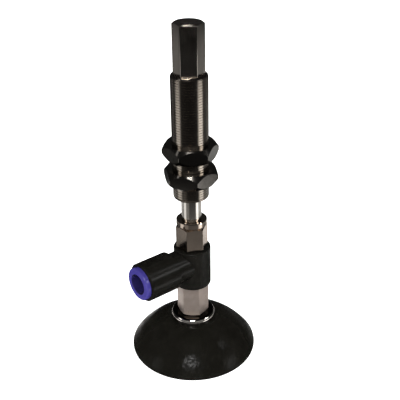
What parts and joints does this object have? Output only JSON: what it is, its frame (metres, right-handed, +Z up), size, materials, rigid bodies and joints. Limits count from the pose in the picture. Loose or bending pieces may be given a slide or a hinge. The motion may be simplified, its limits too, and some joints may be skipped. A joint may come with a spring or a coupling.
{
  "type": "spring-buffered vacuum cup",
  "caption": "flat rubber vacuum cup on a spring-buffered rod, with a threaded barrel and mounting nuts and a swivelling push-in tube port at its side",
  "frame": {"origin": "centre of the cup's rim plane, on the common axis of cup, rod and barrel", "axes": "+Z up along the axis from the cup to the hex cap, the tube port points along -X, +Y completes a right-handed frame"},
  "size_m": [0.0532, 0.0522, 0.1386],
  "materials": {
    "cup_rubber": "near-black moulded rubber, slightly shiny",
    "seal_rubber": "black seal rubber",
    "dark_nickel": "dark bright nickel plate",
    "black_oxide": "black oxide on steel, oiled",
    "polished_nickel": "polished nickel plate",
    "satin_nickel": "satin nickel plate",
    "bright_rod": "bright ground rod",
    "black_plastic": "black satin moulded plastic",
    "blue_plastic": "blue-violet moulded plastic",
    "bare_brass": "machined brass",
    "zinc_steel": "zinc-plated steel",
    "spring_steel": "drawn spring steel"
  },
  "bodies": {
    "barrel": {"buffer_barrel": "dark_nickel", "hex_cap": "dark_nickel", "upper_nut": "black_oxide", "lower_nut": "black_oxide", "guide_bush": "bare_brass", "stop_washer": "seal_rubber", "compression_spring": "spring_steel"},
    "spring_seat": {"spring_seat": "zinc_steel"},
    "plunger": {"plunger_rod": "bright_rod", "swivel_stem": "polished_nickel", "upper_o_ring": "seal_rubber", "lower_o_ring": "seal_rubber", "hex_adapter": "satin_nickel", "plate_seal": "seal_rubber", "cup_plate": "black_oxide", "suction_cup": "cup_rubber", "clamp_washer": "zinc_steel", "cup_screw": "bare_brass"},
    "port": {"port_body": "black_plastic", "tube_seal": "seal_rubber", "seal_spacer": "black_plastic", "gripping_claw": "spring_steel", "collet_sleeve": "bare_brass"},
    "release_ring": {"release_ring": "blue_plastic"}
  },
  "joints": [
    {"name": "buffer_stroke", "type": "slide", "parent": "barrel", "child": "spring_seat", "axis": [0, 0, 1], "range_m": [0, 0.009], "stiffness_N_per_m": 640, "springref_m": -0.005, "deforming": ["compression_spring"]},
    {"name": "rod_turn", "type": "hinge", "parent": "spring_seat", "child": "plunger", "pos_m": [0, 0, 0.0847], "axis": [0, 0, 1], "continuous": true},
    {"name": "port_swivel", "type": "hinge", "parent": "plunger", "child": "port", "pos_m": [0, 0, 0.0409], "axis": [0, 0, 1], "continuous": true},
    {"name": "release_push", "type": "slide", "parent": "port", "child": "release_ring", "axis": [1, 0, 0], "range_m": [0, 0.0012], "stiffness_N_per_m": 500, "springref_m": -0.001}
  ]
}
